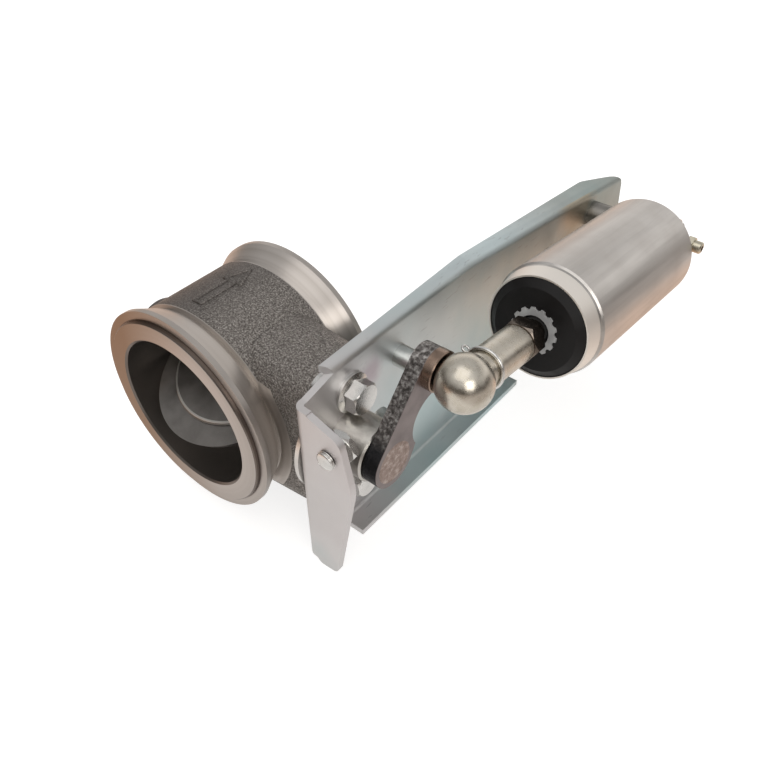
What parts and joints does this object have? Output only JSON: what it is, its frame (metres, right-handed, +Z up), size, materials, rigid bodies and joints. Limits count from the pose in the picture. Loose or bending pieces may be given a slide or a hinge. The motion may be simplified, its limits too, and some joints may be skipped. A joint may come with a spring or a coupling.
{
  "type": "exhaust brake valve",
  "caption": "Butterfly exhaust brake valve with clamp flanges, a lever and an air cylinder on a bent sheet bracket.",
  "frame": {"origin": "where the shaft's axis crosses the pipe's axis, in the middle of the bore", "axes": "+X along the shaft towards the lever, +Y along the pipe from the front flange to the rear flange, +Z up, square to both"},
  "size_m": [0.1847, 0.2796, 0.1064],
  "materials": {
    "cast_body": "grainy cast skin, machined flanges",
    "bronze": "sintered bronze",
    "graphite": "pressed graphite packing",
    "zinc_bright": "bright zinc plate",
    "steel": "ground steel",
    "plate_steel": "satin cast plate",
    "zinc_sheet": "clear passivated zinc on sheet",
    "forged": "forged skin with a ground face",
    "stud_copper": "oil browned steel",
    "satin_zinc": "satin zinc nickel",
    "dark_steel": "dark oiled steel",
    "aluminium": "satin drawn tube",
    "rubber": "matte",
    "black_plastic": "black, slightly glossy",
    "spring_steel": "phosphated spring steel",
    "brass_plated": "plated brass"
  },
  "bodies": {
    "root": {"valve_body": "cast_body", "body_bush_drive": "bronze", "body_bush_blind": "bronze", "hub_bush": "bronze", "shaft_seal": "graphite", "end_plug": "zinc_bright", "bearing_hub": "zinc_bright", "spacer_plate": "zinc_bright", "bracket": "zinc_sheet", "bracket_bolts": "zinc_bright", "rest_pin": "zinc_bright", "stop_screw": "zinc_bright", "stop_screw_nut": "zinc_bright", "pivot_stud": "zinc_bright", "pivot_washer": "zinc_bright", "pivot_clip": "spring_steel"},
    "shaft": {"valve_shaft": "steel", "butterfly_plate": "plate_steel", "plate_screws": "steel", "lever": "forged", "ball_stud": "stud_copper"},
    "cylinder": {"cylinder_barrel": "aluminium", "front_cap": "black_plastic", "cap_seal": "rubber", "rod_bush": "bronze", "rod_wiper": "rubber", "star_ring": "spring_steel", "rear_lug": "aluminium", "pivot_bush": "bronze", "air_fitting": "brass_plated", "return_spring": "spring_steel"},
    "rod": {"piston_rod": "dark_steel", "piston": "aluminium", "piston_seal": "rubber", "wear_ring": "black_plastic", "piston_nut": "zinc_bright", "rod_lock_nut": "dark_steel", "ball_socket": "satin_zinc", "socket_clip": "zinc_bright"}
  },
  "joints": [
    {"name": "shaft_turn", "type": "hinge", "parent": "root", "child": "shaft", "pos_m": [0, 0, 0], "axis": [1, 0, 0], "range_deg": [0, 46]},
    {"name": "cylinder_swing", "type": "hinge", "parent": "root", "child": "cylinder", "pos_m": [0.1012, 0.2045, 0.0107], "axis": [1, 0, 0], "range_deg": [-1.6, 0]},
    {"name": "rod_slide", "type": "slide", "parent": "cylinder", "child": "rod", "axis": [0, -0.9923, 0.1236], "range_m": [0, 0.0321], "deforming": ["return_spring"]}
  ],
  "couplings": [
    {"joint": "cylinder_swing", "follows": "shaft_turn", "ratio": -0.0334},
    {"joint": "rod_slide", "follows": "shaft_turn", "m_per_rad": 0.03978}
  ]
}
